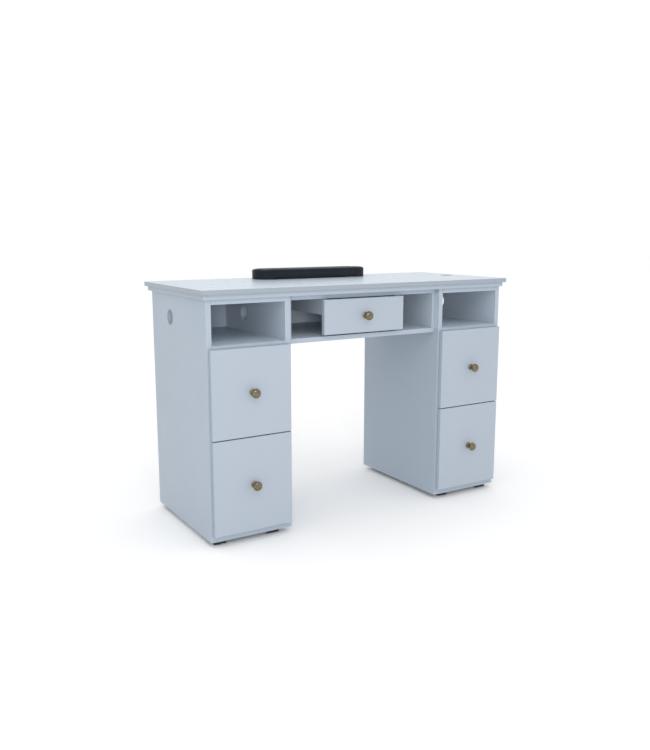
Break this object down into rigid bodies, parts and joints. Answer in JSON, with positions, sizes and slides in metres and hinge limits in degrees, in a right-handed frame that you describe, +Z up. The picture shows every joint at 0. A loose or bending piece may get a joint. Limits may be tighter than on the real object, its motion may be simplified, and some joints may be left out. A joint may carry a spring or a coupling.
{
  "type": "manicure table",
  "caption": "Manicure table with a pale veined worktop, drawer pedestals below open niches, a shallow centre drawer, round brass knobs, cable holes and a padded black armrest cushion",
  "frame": {"origin": "on the floor under the middle of the whole table, knobs included", "axes": "+X runs along the table to the technician's right, -Y points at the technician (drawer side), +Z is up"},
  "size_m": [1.2, 0.5336, 0.8363],
  "materials": {
    "worktop_laminate": "glossy pale laminate with faint marble veining",
    "carcass_lacquer": "satin cool-white lacquer on board",
    "front_lacquer": "satin cool-white lacquer on board",
    "drawer_box_board": "white melamine-faced board",
    "dark_rail_board": "matt dark-grey painted board",
    "polished_brass": "polished",
    "slide_steel": "bright zinc plated",
    "screw_steel": "zinc plated",
    "beech_dowel": "raw beech",
    "black_pad": "matt black",
    "black_leatherette": "fine-grained satin black leatherette"
  },
  "bodies": {
    "table": {"cabinet_slide_rails": "slide_steel", "centre_back": "carcass_lacquer", "centre_ends": "carcass_lacquer", "centre_floor": "carcass_lacquer", "centre_top": "carcass_lacquer", "cornice_board": "carcass_lacquer", "dowels": "beech_dowel", "feet": "black_pad", "foot_screws": "screw_steel", "hanger_rails": "dark_rail_board", "left_back": "carcass_lacquer", "left_bottom": "carcass_lacquer", "left_inner_side": "carcass_lacquer", "left_niche_floor": "carcass_lacquer", "left_outer_side": "carcass_lacquer", "left_top": "carcass_lacquer", "right_back": "carcass_lacquer", "right_bottom": "carcass_lacquer", "right_inner_side": "carcass_lacquer", "right_niche_floor": "carcass_lacquer", "right_outer_side": "carcass_lacquer", "right_top": "carcass_lacquer", "worktop": "worktop_laminate", "worktop_screws": "screw_steel"},
    "left_upper_drawer": {"left_upper_drawer_front": "front_lacquer", "left_upper_drawer_box_walls": "drawer_box_board", "left_upper_drawer_box_bottom": "drawer_box_board", "left_upper_drawer_knob": "polished_brass", "left_upper_drawer_screws": "screw_steel", "left_upper_drawer_slide_rails": "slide_steel"},
    "left_upper_drawer_slide_middle": {"left_upper_drawer_slide_middles": "slide_steel"},
    "left_lower_drawer": {"left_lower_drawer_front": "front_lacquer", "left_lower_drawer_box_walls": "drawer_box_board", "left_lower_drawer_box_bottom": "drawer_box_board", "left_lower_drawer_knob": "polished_brass", "left_lower_drawer_screws": "screw_steel", "left_lower_drawer_slide_rails": "slide_steel"},
    "left_lower_drawer_slide_middle": {"left_lower_drawer_slide_middles": "slide_steel"},
    "right_upper_drawer": {"right_upper_drawer_front": "front_lacquer", "right_upper_drawer_box_walls": "drawer_box_board", "right_upper_drawer_box_bottom": "drawer_box_board", "right_upper_drawer_knob": "polished_brass", "right_upper_drawer_screws": "screw_steel", "right_upper_drawer_slide_rails": "slide_steel"},
    "right_upper_drawer_slide_middle": {"right_upper_drawer_slide_middles": "slide_steel"},
    "right_lower_drawer": {"right_lower_drawer_front": "front_lacquer", "right_lower_drawer_box_walls": "drawer_box_board", "right_lower_drawer_box_bottom": "drawer_box_board", "right_lower_drawer_knob": "polished_brass", "right_lower_drawer_screws": "screw_steel", "right_lower_drawer_slide_rails": "slide_steel"},
    "right_lower_drawer_slide_middle": {"right_lower_drawer_slide_middles": "slide_steel"},
    "centre_drawer": {"centre_drawer_front": "front_lacquer", "centre_drawer_box_walls": "drawer_box_board", "centre_drawer_box_bottom": "drawer_box_board", "centre_drawer_knob": "polished_brass", "centre_drawer_screws": "screw_steel", "centre_drawer_slide_rails": "slide_steel"},
    "centre_drawer_slide_middle": {"centre_drawer_slide_middles": "slide_steel"},
    "armrest": {"armrest_cushion": "black_leatherette"}
  },
  "joints": [
    {"name": "left_upper_drawer_slide", "type": "slide", "parent": "table", "child": "left_upper_drawer", "axis": [0, -1, 0], "range_m": [0, 0.38]},
    {"name": "left_lower_drawer_slide", "type": "slide", "parent": "table", "child": "left_lower_drawer", "axis": [0, -1, 0], "range_m": [0, 0.38]},
    {"name": "right_upper_drawer_slide", "type": "slide", "parent": "table", "child": "right_upper_drawer", "axis": [0, -1, 0], "range_m": [0, 0.38]},
    {"name": "right_lower_drawer_slide", "type": "slide", "parent": "table", "child": "right_lower_drawer", "axis": [0, -1, 0], "range_m": [0, 0.38]},
    {"name": "centre_drawer_slide", "type": "slide", "parent": "table", "child": "centre_drawer", "axis": [0, -1, 0], "range_m": [0, 0.33]},
    {"name": "left_upper_drawer_slide_middle_slide", "type": "slide", "parent": "table", "child": "left_upper_drawer_slide_middle", "axis": [0, -1, 0], "range_m": [0, 0.19]},
    {"name": "left_lower_drawer_slide_middle_slide", "type": "slide", "parent": "table", "child": "left_lower_drawer_slide_middle", "axis": [0, -1, 0], "range_m": [0, 0.19]},
    {"name": "right_upper_drawer_slide_middle_slide", "type": "slide", "parent": "table", "child": "right_upper_drawer_slide_middle", "axis": [0, -1, 0], "range_m": [0, 0.19]},
    {"name": "right_lower_drawer_slide_middle_slide", "type": "slide", "parent": "table", "child": "right_lower_drawer_slide_middle", "axis": [0, -1, 0], "range_m": [0, 0.19]},
    {"name": "centre_drawer_slide_middle_slide", "type": "slide", "parent": "table", "child": "centre_drawer_slide_middle", "axis": [0, -1, 0], "range_m": [0, 0.165]},
    {"name": "armrest_lift", "type": "slide", "parent": "table", "child": "armrest", "axis": [0, 0, 1], "range_m": [0, 0.15]}
  ],
  "couplings": [
    {"joint": "left_upper_drawer_slide_middle_slide", "follows": "left_upper_drawer_slide", "ratio": 0.5},
    {"joint": "left_lower_drawer_slide_middle_slide", "follows": "left_lower_drawer_slide", "ratio": 0.5},
    {"joint": "right_upper_drawer_slide_middle_slide", "follows": "right_upper_drawer_slide", "ratio": 0.5},
    {"joint": "right_lower_drawer_slide_middle_slide", "follows": "right_lower_drawer_slide", "ratio": 0.5},
    {"joint": "centre_drawer_slide_middle_slide", "follows": "centre_drawer_slide", "ratio": 0.5}
  ]
}
